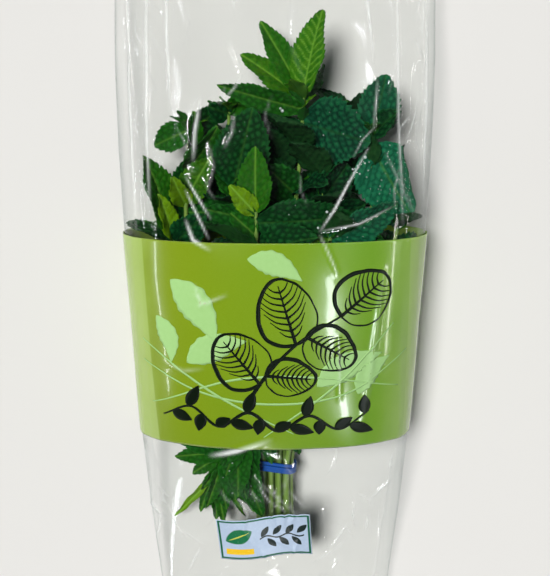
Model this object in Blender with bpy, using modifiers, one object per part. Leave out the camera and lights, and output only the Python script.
"""A bunch of mint, tied with a rubber band, in a printed clear sleeve that lies on its back.

Metres, +Z up. +Y runs from the cut stems to the sleeve's mouth, +X is to the right seen from above.
The origin is under the middle of the sleeve, on the surface it lies on.
"""

import math

import bmesh
import bpy
import numpy as np
from mathutils.bvhtree import BVHTree

MM = 0.001
UP = np.array([0.0, 0.0, 1.0])

# The clear sleeve: its outer half width and height at stations along its length.
SLEEVE_Y = np.array([-200, -170, -118, -70, -10, 46, 120, 200]) * MM
SLEEVE_HALF_WIDTH = np.array([67, 69.5, 74, 76.5, 79, 82.5, 86, 86]) * MM
SLEEVE_HEIGHT = np.array([16, 22, 40, 62, 74, 72, 54, 34]) * MM
SLEEVE_WALL = 0.7 * MM
EDGE_HEIGHT_SHARE = 0.42
BELLY_SHARE = 1.25
ROUNDNESS = 2.2
GAP = 0.35 * MM
SIDES = 30
SLEEVE_ROWS = (8, 5, 5)
BAND_ROWS = 7

# The printed band round the sleeve, and the small flag label on its lower front.
BAND_BOTTOM_Y = -68 * MM
BAND_TOP_Y = 46 * MM
BAND_WALL = 0.5 * MM
LIFT_RAMP = 12 * MM
LABEL_CENTRE = (-6 * MM, -133 * MM)
LABEL_SIZE = (54 * MM, 30 * MM)
LABEL_TURN = math.radians(4)
LABEL_WAVE = 1.8 * MM
LABEL_WALL = 0.6 * MM

# The stems: square, packed in rows where the rubber band holds them, and fanned out above it.
CUT_Y = -149 * MM
TIE_Y = -95 * MM
FAN_Y = 62 * MM
STEM_RADIUS = 1.9 * MM
STEM_TIP_SHARE = 0.5
PITCH_CUT = (4.9 * MM, 4.9 * MM)
PITCH_TIE = (4.5 * MM, 4.3 * MM)
PITCH_FAN = (30 * MM, 17.5 * MM)
BUNDLE_Z = (10.5 * MM, 15 * MM, 36 * MM)
STEM_POINTS = 12
SHOOT_RADIUS = 1.1 * MM
SHOOT_POINTS = 6
WELD = 1e-6

# The rubber band that ties them.
TIE_WIDTH = 6 * MM
TIE_THICKNESS = 1.2 * MM
TIE_HALF = (11.7 * MM, 7.6 * MM)
TIE_CORNER = 6.8 * MM
TIE_SLANT = 0.16

# The leaves: pointed ovals with forward teeth, folded along the midrib and arched back.
BLADE = 0.7 * MM
PLACED_ARCH = 0.3
LONG_LEAF = 34 * MM
CLEAR_ROUND_BLADE = 0.45 * MM
LEAF_WIDTH_SHARE = 0.66
TOOTH_DEPTH = 0.13
ROOT_SHARE = 0.07
ROOT_DEPTH = 0.9 * MM
ROOT_REACH = 5 * MM
MOST_TURN = 0.6
FILM_CLEARANCE = 1.8 * MM
SEED = 11
TRIES = 160
LOWEST_LEAF_Y = -60 * MM

# How the leaves grow where none is placed by hand: their length by the distance below the stem's tip.
GROWTH_DROP = np.array([0, 25, 60, 100]) * MM
GROWTH_LENGTH = np.array([30, 45, 46, 40]) * MM
GROWTH_LEAN = 0.85
TURN_BY_SPRIG = 0.35

# Each sprig: its column and row in the tie, its tip's x, y and z, and how far below the tip its pairs of leaves are.
# The places and distances here and in the next three tables are in millimetres.
SPRIGS = {
    "sprig_front_far_left": (-1.5, 1, -56, 46, 36, (10, 34)),
    "sprig_front_young": (-0.5, 1, -10, 60, 55, (24, 52)),
    "sprig_front_right": (0.5, 1, 29, 47, 55, (0, 22, 48)),
    "sprig_front_far_right": (1.5, 1, 66, 49, 40, (0, 16, 40)),
    "sprig_middle_far_left": (-2, 0, -46, 102, 34, (52, 80)),
    "sprig_middle_left": (-1, 0, -22, 73, 44, (10, 26, 48)),
    "sprig_tall": (0, 0, 15, 120, 34, (30, 52)),
    "sprig_middle_right": (1, 0, 25, 87, 38, (10, 28, 52)),
    "sprig_middle_far_right": (2, 0, 51, 100, 38, (18, 40, 66)),
    "sprig_back_left": (-1, -1, -25, 111, 24, (18, 38)),
    "sprig_back": (0, -1, 4, 92, 18, (0, 16, 34, 60)),
    "sprig_back_right": (1, -1, 40, 106, 18, (0, 18, 44)),
}

# A side shoot that has slipped below the band: the sprig that carries it, its start, bend and end.
SHOOT = "sprig_front_far_left"
SHOOT_START_Y = -60
SHOOT_BEND = (-24, -76, 30)
SHOOT_END = (-38, -106, 16)

# The leaves that lie in front, placed one by one: sprig, root's y, tip's x, y and z, width, and roll and fold in radians.
# A root below the lowest leaf of a stem is on the side shoot.
PLACED = (
    ("sprig_tall", 120, 25, 164, 35, 21, -0.5, 0.45),
    ("sprig_tall", 119, -9, 160, 27, 16, 0.2, 0.3),
    ("sprig_tall", 117, -23, 140, 28, 17, 0.2, 0.25),
    ("sprig_tall", 112, -31, 125, 45, 15, -0.2, 0.3),
    ("sprig_tall", 118, 27, 136, 22, 11, 0.9, 0.3),
    ("sprig_tall", 104, 3, 97, 18, 20, 0.0, 0.2),
    ("sprig_tall", 105, 51, 95, 46, 37, 0.1, 0.12),
    ("sprig_middle_far_right", 99, 59, 131, 33, 25, 0.2, 0.2),
    ("sprig_middle_far_right", 98, 66, 112, 44, 16, -0.8, 0.3),
    ("sprig_middle_far_right", 93, 73, 56, 44, 37, 0.35, 0.1),
    ("sprig_middle_far_left", 101, -66, 92, 27, 17, 0.2, 0.3),
    ("sprig_middle_far_left", 100, -30, 112, 22, 15, 0.2, 0.3),
    ("sprig_middle_far_left", 82, -42, 112, 42, 14, 0.9, 0.3),
    ("sprig_middle_far_left", 80, -25, 110, 48, 22, -0.3, 0.2),
    ("sprig_middle_far_left", 63, -33, 89, 54, 18, -0.3, 0.25),
    ("sprig_middle_far_left", 61, -53, 83, 46, 13, 0.5, 0.35),
    ("sprig_front_far_left", 44, -72, 88, 26, 26, 0.9, 0.3),
    ("sprig_front_far_left", 42, -60, 72, 42, 13, 0.5, 0.4),
    ("sprig_back_left", 110, -9, 122, 25, 14, 0.2, 0.3),
    ("sprig_back_left", 109, -38, 112, 30, 14, -0.2, 0.3),
    ("sprig_middle_left", 72, -13, 116, 45, 31, 0.0, 0.12),
    ("sprig_front_young", 60, -10, 95, 58, 19, -0.2, 0.25),
    ("sprig_front_young", 59, -24, 75, 60, 12, 0.1, 0.3),
    ("sprig_front_young", 56, -38, 64, 49, 15, -0.5, 0.3),
    ("sprig_front_young", 47, -24, 60, 56, 12, 0.2, 0.3),
    ("sprig_front_young", 54, 43, 57, 50, 27, 0.25, 0.15),
    ("sprig_middle_right", 86, 0, 89, 35, 17, -0.2, 0.2),
    ("sprig_front_right", 45, 66, 64, 48, 22, 0.4, 0.3),
    ("sprig_front_far_left", -76, -7, -124, 28, 18, 0.2, 0.3),
    ("sprig_front_far_left", -81, -60, -76, 20, 15, 0.2, 0.3),
    ("sprig_front_far_left", -92, -41, -121, 24, 10, -0.4, 0.4),
    ("sprig_front_far_left", -103, -61, -131, 12, 5, 0.2, 0.4),
    ("sprig_front_far_left", -98, -30, -138, 12, 8, 0.2, 0.4),
    ("sprig_middle_left", 66, -36, 94, 36, 22, 0.3, 0.2),
    ("sprig_middle_left", 58, -50, 62, 36, 20, 0.2, 0.2),
    ("sprig_front_far_left", 40, -34, 60, 42, 20, -0.3, 0.2),
    ("sprig_back", 72, -18, 84, 26, 24, 0.0, 0.2),
    ("sprig_back", 60, 24, 72, 27, 24, 0.3, 0.2),
    ("sprig_middle_right", 64, 40, 84, 33, 22, 0.3, 0.2),
    ("sprig_tall", 66, -6, 84, 44, 20, 0.0, 0.2),
    ("sprig_middle_right", 52, 50, 62, 36, 22, 0.4, 0.2),
    ("sprig_middle_far_right", 66, 72, 88, 30, 22, 0.5, 0.2),
    ("sprig_back_left", 76, -46, 84, 22, 22, 0.0, 0.2),
    ("sprig_back_right", 70, 56, 84, 22, 22, 0.0, 0.2),
    ("sprig_tall", 90, 30, 112, 30, 18, 0.3, 0.2),
    ("sprig_front_right", 36, 8, 62, 44, 20, 0.0, 0.2),
)


def along(y, values):
    """A smooth curve through the sleeve's stations: cubic pieces that keep the stations' mean slopes."""
    y = np.clip(np.asarray(y, float), SLEEVE_Y[0], SLEEVE_Y[-1])
    slopes = np.gradient(values, SLEEVE_Y)
    i = np.clip(np.searchsorted(SLEEVE_Y, y) - 1, 0, len(SLEEVE_Y) - 2)
    step = SLEEVE_Y[i + 1] - SLEEVE_Y[i]
    t = (y - SLEEVE_Y[i]) / step
    start = values[i] * (1 + 2 * t) * (1 - t) ** 2 + values[i + 1] * t**2 * (3 - 2 * t)
    return start + step * (slopes[i] * t * (1 - t) ** 2 - slopes[i + 1] * t**2 * (1 - t))


def ease(t):
    """0 to 1 with flat ends."""
    t = np.clip(t, 0, 1)
    return t * t * (3 - 2 * t)


def sleeve_floor(y):
    """How far the sleeve's underside is off the surface: the printed band passes below its middle."""
    lift = GAP + BAND_WALL
    rise = ease((y - BAND_BOTTOM_Y + LIFT_RAMP) / LIFT_RAMP)
    return lift * rise * ease((BAND_TOP_Y + LIFT_RAMP - y) / LIFT_RAMP)


def sleeve_point(y, turn, inset=0.0):
    """A point of the sleeve's section at y, inset from its outer face. turn runs once round from the right edge."""
    half = along(y, SLEEVE_HALF_WIDTH) - inset
    height = along(y, SLEEVE_HEIGHT)
    edge = height * EDGE_HEIGHT_SHARE
    c, s = np.cos(turn), np.sin(turn)
    x = half * np.sign(c) * np.abs(c) ** (2 / ROUNDNESS)
    reach = np.where(s > 0, height - inset - edge, edge * BELLY_SHARE - inset)
    z = edge + reach * np.sign(s) * np.abs(s) ** (2 / ROUNDNESS)
    return x, y + 0 * turn, np.maximum(z, sleeve_floor(y) + inset)


def keep_inside(points):
    """Presses points that would pass through the film back on its inner side, as the film presses the leaves."""
    x, y, z = points[..., 0], points[..., 1], points[..., 2]
    half = along(y, SLEEVE_HALF_WIDTH) - SLEEVE_WALL - FILM_CLEARANCE
    height = along(y, SLEEVE_HEIGHT)
    edge = height * EDGE_HEIGHT_SHARE
    margin = SLEEVE_WALL + FILM_CLEARANCE
    reach = np.where(z > edge, height - margin - edge, edge * BELLY_SHARE - margin)
    out = (np.abs(x / half) ** ROUNDNESS + np.abs((z - edge) / reach) ** ROUNDNESS) ** (1 / ROUNDNESS)
    scale = 1 / np.maximum(out, 1)
    floor = sleeve_floor(y) + margin
    return np.stack([x * scale, y, np.maximum(edge + (z - edge) * scale, floor)], axis=-1)


def mesh_object(name, points, faces, collection):
    """A mesh object from points and faces, in a collection."""
    mesh = bpy.data.meshes.new(name)
    mesh.from_pydata([tuple(p) for p in points], [], faces)
    obj = bpy.data.objects.new(name, mesh)
    collection.objects.link(obj)
    return obj


def wall_object(name, grid, wall, collection, closed=False):
    """A wall of even thickness on the outer side of a grid of points. closed joins the last column to the first."""
    rows, columns = grid.shape[:2]
    faces = [
        (r * columns + c, r * columns + (c + 1) % columns, (r + 1) * columns + (c + 1) % columns, (r + 1) * columns + c)
        for r in range(rows - 1)
        for c in range(columns if closed else columns - 1)
    ]
    obj = mesh_object(name, grid.reshape(-1, 3), faces, collection)
    solidify = obj.modifiers.new("wall", "SOLIDIFY")
    solidify.thickness = wall
    solidify.offset = 1
    return obj


def sleeve_wall(name, rows, inset, wall, collection):
    """A length of tube round the sleeve's sections, open at both ends. inset is from the film's outer face."""
    turn, y = np.meshgrid(-np.linspace(0, 2 * math.pi, SIDES, endpoint=False), rows)
    return wall_object(name, np.stack(sleeve_point(y, turn, inset), axis=-1), wall, collection, closed=True)


def label_plate(collection):
    """The small flag label: a waved strip, a little turned, that follows the lower front of the sleeve."""
    across, up = np.meshgrid(np.linspace(-0.5, 0.5, 11), np.linspace(-0.5, 0.5, 4))
    along_x = across * LABEL_SIZE[0]
    along_y = up * LABEL_SIZE[1] + LABEL_WAVE * np.sin(2 * math.pi * across)
    cos, sin = math.cos(LABEL_TURN), math.sin(LABEL_TURN)
    x = LABEL_CENTRE[0] + along_x * cos - along_y * sin
    y = LABEL_CENTRE[1] + along_x * sin + along_y * cos
    half, height = along(y, SLEEVE_HALF_WIDTH) + GAP, along(y, SLEEVE_HEIGHT)
    edge = height * EDGE_HEIGHT_SHARE
    dome = (1 - np.abs(x / half) ** ROUNDNESS) ** (1 / ROUNDNESS)
    grid = np.stack([x, y, edge + (height + GAP - edge) * dome], axis=-1)
    return wall_object("small_label", grid, LABEL_WALL, collection)


def stem_spread(y):
    """The pitch of the stems' columns and rows at y, and the height of their middle row."""
    below = ease((y - CUT_Y) / (TIE_Y - CUT_Y))
    above = ease((y - TIE_Y) / (FAN_Y - TIE_Y)) ** 0.8
    pitches = []
    for cut, tie, fan in zip(PITCH_CUT, PITCH_TIE, PITCH_FAN):
        pitches.append(cut + (tie - cut) * below + (fan - tie) * above)
    height = BUNDLE_Z[0] + (BUNDLE_Z[1] - BUNDLE_Z[0]) * below + (BUNDLE_Z[2] - BUNDLE_Z[1]) * above
    return pitches[0], pitches[1], height


def stem_line(column, row, tip, y):
    """Points of a stem's centre line: its place in the fan, drawn over to its own tip along the upper half."""
    pitch_x, pitch_z, height = stem_spread(y)
    tip_pitch_x, tip_pitch_z, tip_height = stem_spread(tip[1])
    pull = ease((y - TIE_Y) / (tip[1] - TIE_Y)) ** 1.5
    x = column * pitch_x + (tip[0] - column * tip_pitch_x) * pull
    z = height + row * pitch_z + (tip[2] - tip_height - row * tip_pitch_z) * pull
    return np.stack([x, y, z], axis=-1)


def shoot_line(parent):
    """Points of the side shoot's centre line, a bend of its own out of the stem that carries it."""
    start = point_on(parent, SHOOT_START_Y * MM)
    t = np.linspace(0, 1, SHOOT_POINTS)[:, None]
    return start * (1 - t) ** 2 + np.array(SHOOT_BEND) * MM * 2 * t * (1 - t) + np.array(SHOOT_END) * MM * t**2


def point_on(line, y):
    """The point of a line at that y."""
    order = np.argsort(line[:, 1])
    return np.array([np.interp(y, line[order, 1], line[order, k]) for k in range(3)])


def stem_object(name, line, radius, collection):
    """A square stem: a curve with a four-sided bevel that thins towards the tip, made a mesh with its caps welded."""
    curve = bpy.data.curves.new(name, "CURVE")
    curve.dimensions = "3D"
    curve.bevel_depth = radius
    curve.bevel_resolution = 0
    curve.use_fill_caps = True
    spline = curve.splines.new("POLY")
    spline.points.add(len(line) - 1)
    for i, point in enumerate(line):
        spline.points[i].co = (*point, 1)
        spline.points[i].radius = 1 - (1 - STEM_TIP_SHARE) * i / (len(line) - 1)
    guide = bpy.data.objects.new(name + "_curve", curve)
    collection.objects.link(guide)
    bpy.context.view_layer.update()
    mesh = bpy.data.meshes.new_from_object(guide.evaluated_get(bpy.context.evaluated_depsgraph_get()))
    bpy.data.objects.remove(guide)
    work = bmesh.new()
    work.from_mesh(mesh)
    bmesh.ops.remove_doubles(work, verts=work.verts, dist=WELD)
    bmesh.ops.recalc_face_normals(work, faces=work.faces)
    work.to_mesh(mesh)
    work.free()
    obj = bpy.data.objects.new(name, mesh)
    collection.objects.link(obj)
    return obj


def half_width(u):
    """A leaf's half width along it, as a share of its widest: a pointed oval, widest below the middle."""
    return np.sin(math.pi * u**0.78) ** 0.75


def leaf_plan(teeth):
    """A flat leaf: rows of (along, across), the triangles between them, and the outline's order.

    Each tooth has its notch and its peak on both edges, and one point on the midrib.
    """
    notch = 0.06 + 0.9 * (np.arange(teeth) + 0.12) / teeth
    peak = 0.06 + 0.9 * (np.arange(teeth) + 0.78) / teeth
    rib = [0.0, *notch, 1.0]
    points = [(u, 0.0) for u in rib]
    triangles, edges = [], []
    for side in (-1, 1):
        first = len(points)
        points.append((0.0, side * ROOT_SHARE))
        for u_notch, u_peak in zip(notch, peak):
            points.append((u_notch, side * (1 - TOOTH_DEPTH) * half_width(u_notch)))
            points.append((u_peak, side * half_width(u_peak)))
        edges.append(list(range(first, len(points))))
        found = [(0, first, first + 1), (0, first + 1, 1)]
        for k in range(teeth):
            here, following, low, high = k + 1, k + 2, first + 1 + 2 * k, first + 2 + 2 * k
            found += [(here, low, high), (here, high, following)]
            if k < teeth - 1:
                found.append((following, high, high + 1))
        triangles += [t[::-1] for t in found] if side < 0 else found
    tip = teeth + 1
    outline = [0, *edges[1], tip, *edges[0][::-1]]
    return np.array(points), np.array(triangles), outline


def leaf_surface(plan, root, direction, face, length, width, arch, fold):
    """Where a flat leaf's points lie once it is arched back along the midrib, folded across it and kept in the film."""
    u, v = plan[..., 0], plan[..., 1]
    side = np.cross(direction, face)
    bend = arch * u
    forward = length * np.sin(bend) / arch
    back = length * (1 - np.cos(bend)) / arch
    up = np.cos(bend)[..., None] * face + np.sin(bend)[..., None] * direction
    points = root + forward[..., None] * direction - back[..., None] * face
    points = points + (width / 2 * v * math.cos(fold))[..., None] * side
    points = points + (width / 2 * np.abs(v) * math.sin(fold))[..., None] * up
    return keep_inside(points)


def triangle_normals(points, triangles):
    """The unit normal of each triangle."""
    a, b, c = (points[triangles[:, k]] for k in range(3))
    normal = np.cross(b - a, c - a)
    return normal / np.linalg.norm(normal, axis=1)[:, None]


def point_normals(points, triangles):
    """A unit normal at each point: the mean of its triangles' normals."""
    found = np.zeros_like(points)
    flat = triangle_normals(points, triangles)
    for k in range(3):
        np.add.at(found, triangles[:, k], flat)
    return found / np.linalg.norm(found, axis=1)[:, None]


def smooth_enough(points, triangles):
    """True if a leaf's surface turns gently everywhere, so that its blade doesn't fold through itself."""
    flat, smooth = triangle_normals(points, triangles), point_normals(points, triangles)
    return np.min([(flat * smooth[triangles[:, k]]).sum(axis=1) for k in range(3)]) > MOST_TURN


def leaf_blade(middle, triangles, outline, thickness):
    """A closed blade of that thickness round a leaf's middle surface, as points and triangles."""
    shift = point_normals(middle, triangles) * thickness / 2
    count = len(middle)
    faces = [tuple(t) for t in triangles] + [tuple(t[::-1] + count) for t in triangles]
    for a, b in zip(outline, outline[1:] + outline[:1]):
        faces += [(b, a, a + count), (b, a + count, b + count)]
    return np.concatenate([middle + shift, middle - shift]), faces


def blade_tree(points, faces, root=None):
    """A search tree over a blade, without the faces near its root if that is given."""
    if root is not None:
        near = np.linalg.norm(points - root, axis=1) < ROOT_REACH
        faces = [f for f in faces if not near[list(f)].any()]
    return BVHTree.FromPolygons([tuple(p) for p in points], faces)


def crosses(tree, trees):
    """True if the blade behind this tree crosses something that is already there."""
    return any(tree.overlap(other) for other in trees)


def perpendicular(vector, direction):
    """The part of vector that is square to direction, at unit length."""
    rest = vector - direction * (vector @ direction)
    return rest / np.linalg.norm(rest)


def turned(vector, axis, angle):
    """vector turned about a unit axis."""
    cos, sin = math.cos(angle), math.sin(angle)
    return vector * cos + np.cross(axis, vector) * sin + axis * (axis @ vector) * (1 - cos)


def grown_poses(tangent, azimuth, rng):
    """Directions and faces to try for a leaf that grows out of a stem, the later ones bent further from the first."""
    for k in range(TRIES):
        loose = 0.06 + 0.6 * k / TRIES
        turn = azimuth + rng.normal(0, loose)
        lean = np.clip(GROWTH_LEAN + rng.normal(0, loose), 0.15, 1.5)
        roll = rng.normal(0, 0.15 + loose * 0.8)
        radial = perpendicular(np.array([math.cos(turn), 0, math.sin(turn)]), tangent)
        direction = math.cos(lean) * tangent + math.sin(lean) * radial
        face = perpendicular(math.sin(lean) * tangent - math.cos(lean) * radial, direction)
        yield direction, turned(face, direction, roll), 1 - 0.45 * k / TRIES


def placed_poses(root, tip, roll, arch, rng):
    """Directions and faces to try for a leaf with its tip at a given place, the later ones moved further from it."""
    for k in range(TRIES):
        chord = tip + rng.normal(0, 0.08 * MM * k, 3) * (k > 0) - root
        chord /= np.linalg.norm(chord)
        face = turned(perpendicular(UP, chord), chord, roll + rng.normal(0, 0.006 * k))
        direction = math.cos(arch / 2) * chord + math.sin(arch / 2) * face
        yield direction, perpendicular(face, direction), 1 - 0.2 * k / TRIES


class Sprig:
    """A stem, perhaps with a side shoot, and the leaves that have found room on it."""

    def __init__(self, index, name, column, row, x, y, z, drops, collection):
        self.index, self.name, self.drops, self.collection = index, name, drops, collection
        tip = np.array([x, y, z]) * MM
        above = np.linspace(TIE_Y + TIE_WIDTH, tip[1], STEM_POINTS - 2)
        self.stem = stem_line(column, row, tip, np.concatenate([[CUT_Y, TIE_Y - TIE_WIDTH], above]))
        self.shoot = shoot_line(self.stem) if name == SHOOT else None
        self.body = stem_object(name, self.stem, STEM_RADIUS, collection)
        self.parts = bpy.data.collections.new(name + "_parts")
        bpy.context.scene.collection.children.link(self.parts)
        self.trees = [tree_of(self.body)]
        self.own = []
        self.left_out = 0
        if self.shoot is not None:
            side = stem_object(name + "_shoot", self.shoot, SHOOT_RADIUS, self.parts)
            self.trees.append(tree_of(side))

    def add_leaf(self, node, poses, size, width, arch, fold, teeth, others):
        """Adds a leaf in the first pose that is smooth and clear of the other sprigs and of this one's leaves."""
        plan, triangles, outline = leaf_plan(teeth)
        for direction, face, shrink in poses:
            root = node - direction * ROOT_DEPTH
            middle = leaf_surface(plan, root, direction, face, size * shrink, width * shrink, arch, fold)
            if not smooth_enough(middle, triangles):
                continue
            points, faces = leaf_blade(middle, triangles, outline, BLADE + 2 * CLEAR_ROUND_BLADE)
            if crosses(blade_tree(points, faces), others) or crosses(blade_tree(points, faces, node), self.own):
                continue
            points, faces = leaf_blade(middle, triangles, outline, BLADE)
            mesh_object(f"{self.name}_leaf", points, faces, self.parts)
            self.own.append(blade_tree(points, faces, node))
            self.trees.append(blade_tree(points, faces))
            return True
        return False

    def place(self, number, root_y, x, y, z, width, roll, fold, others):
        """Adds a leaf whose tip is given."""
        line = self.shoot if root_y * MM < LOWEST_LEAF_Y else self.stem
        node, tip = point_on(line, root_y * MM), np.array([x, y, z]) * MM
        rng = np.random.default_rng([SEED, number])
        length = np.linalg.norm(tip - node) * PLACED_ARCH / 2 / math.sin(PLACED_ARCH / 2)
        poses = placed_poses(node, tip, roll, PLACED_ARCH, rng)
        teeth = 4 if length > LONG_LEAF else 3
        return self.add_leaf(node, poses, length, width * MM, PLACED_ARCH, fold, teeth, others)

    def grow(self, others):
        """Adds the pairs of leaves that aren't placed by hand, each pair square to the last, where there is room."""
        for pair, drop in enumerate(self.drops):
            y = self.stem[-1, 1] - drop * MM
            below, node = point_on(self.stem, y - MM), point_on(self.stem, y)
            tangent = (node - below) / np.linalg.norm(node - below)
            for side in (0, 1):
                rng = np.random.default_rng([SEED, self.index, pair, side])
                azimuth = math.pi * (0.5 * pair + side) + TURN_BY_SPRIG * self.index
                length = np.interp(drop * MM, GROWTH_DROP, GROWTH_LENGTH) * rng.uniform(0.9, 1.1)
                arch, fold = rng.uniform(0.15, 0.7), rng.uniform(0.1, 0.45)
                poses = grown_poses(tangent, azimuth, rng)
                found = self.add_leaf(node, poses, length, length * LEAF_WIDTH_SHARE, arch, fold, 3, others)
                self.left_out += not found

    def fuse(self):
        """Joins the side shoot and the leaves to the stem, as one body."""
        union = self.body.modifiers.new("parts", "BOOLEAN")
        union.operation = "UNION"
        union.operand_type = "COLLECTION"
        union.collection = self.parts
        union.solver = "MANIFOLD"
        bpy.context.view_layer.update()
        joined = bpy.data.meshes.new_from_object(self.body.evaluated_get(bpy.context.evaluated_depsgraph_get()))
        self.body.modifiers.clear()
        self.body.data = joined
        for part in list(self.parts.objects):
            bpy.data.objects.remove(part)
        bpy.data.collections.remove(self.parts)
        return self.body


def tree_of(obj):
    """A search tree over an object's faces."""
    mesh = obj.data
    return BVHTree.FromPolygons([v.co for v in mesh.vertices], [p.vertices for p in mesh.polygons])


def rubber_band(collection):
    """The rubber band: a flat strip round the stems, with round corners."""
    outline = []
    for quarter in range(4):
        cx = (TIE_HALF[0] - TIE_CORNER) * (1 if quarter in (0, 3) else -1)
        cz = (TIE_HALF[1] - TIE_CORNER) * (1 if quarter < 2 else -1)
        for angle in math.pi / 2 * (quarter + np.linspace(0, 1, 5)):
            outline.append((cx + TIE_CORNER * math.cos(angle), BUNDLE_Z[1] + cz + TIE_CORNER * math.sin(angle)))
    outline = np.array(outline)[::-1]
    grid = np.zeros((2, len(outline), 3))
    grid[..., 0], grid[..., 2] = outline[:, 0], outline[:, 1]
    grid[0, :, 1], grid[1, :, 1] = TIE_Y - TIE_WIDTH / 2, TIE_Y + TIE_WIDTH / 2
    grid[..., 1] -= TIE_SLANT * grid[..., 0]
    return wall_object("rubber_band", grid, TIE_THICKNESS, collection, closed=True)


def material(name, colour, roughness, alpha=1.0):
    """A plain Principled finish."""
    made = bpy.data.materials.new(name)
    made.use_nodes = True
    shader = made.node_tree.nodes["Principled BSDF"]
    shader.inputs["Base Color"].default_value = (*colour, 1)
    shader.inputs["Roughness"].default_value = roughness
    shader.inputs["Metallic"].default_value = 0
    shader.inputs["Alpha"].default_value = alpha
    return made


def build():
    """The whole object, in a collection of its own."""
    for obj in list(bpy.data.objects):
        bpy.data.objects.remove(obj)
    bunch = bpy.data.collections.new("mint_bunch_in_sleeve")
    bpy.context.scene.collection.children.link(bunch)

    foot = np.linspace(SLEEVE_Y[0], BAND_BOTTOM_Y - LIFT_RAMP, SLEEVE_ROWS[0])
    middle = np.linspace(BAND_BOTTOM_Y, BAND_TOP_Y, SLEEVE_ROWS[1])
    mouth = np.linspace(BAND_TOP_Y + LIFT_RAMP, SLEEVE_Y[-1], SLEEVE_ROWS[2])
    rows = np.concatenate([foot, middle, mouth])
    sleeve = sleeve_wall("sleeve", rows, SLEEVE_WALL, SLEEVE_WALL, bunch)
    rows = np.linspace(BAND_BOTTOM_Y, BAND_TOP_Y, BAND_ROWS)
    band = sleeve_wall("printed_band", rows, -GAP, BAND_WALL, bunch)
    label = label_plate(bunch)
    tie = rubber_band(bunch)

    sprigs = {name: Sprig(i, name, *spec, bunch) for i, (name, spec) in enumerate(SPRIGS.items())}

    def others(sprig):
        return [tie_tree] + [tree for other in sprigs.values() if other is not sprig for tree in other.trees]

    bpy.context.view_layer.update()
    tie_tree = BVHTree.FromObject(tie, bpy.context.evaluated_depsgraph_get())
    for number, (name, *leaf) in enumerate(PLACED):
        if not sprigs[name].place(number, *leaf, others(sprigs[name])):
            raise ValueError(f"{name} has no room for placed leaf {number}")
    for sprig in sprigs.values():
        sprig.grow(others(sprig))
    print("grown leaves left out for want of room:", sum(sprig.left_out for sprig in sprigs.values()))

    leaf_green = material("mint_leaf", (0.02, 0.13, 0.03), 0.5)
    for sprig in sprigs.values():
        sprig.fuse().data.materials.append(leaf_green)
    sleeve.data.materials.append(material("clear_film", (0.9, 0.93, 0.93), 0.1, 0.2))
    band.data.materials.append(material("green_print", (0.3, 0.5, 0.04), 0.25))
    label.data.materials.append(material("white_label", (0.8, 0.85, 0.9), 0.3))
    tie.data.materials.append(material("blue_rubber", (0.01, 0.06, 0.45), 0.6))


build()
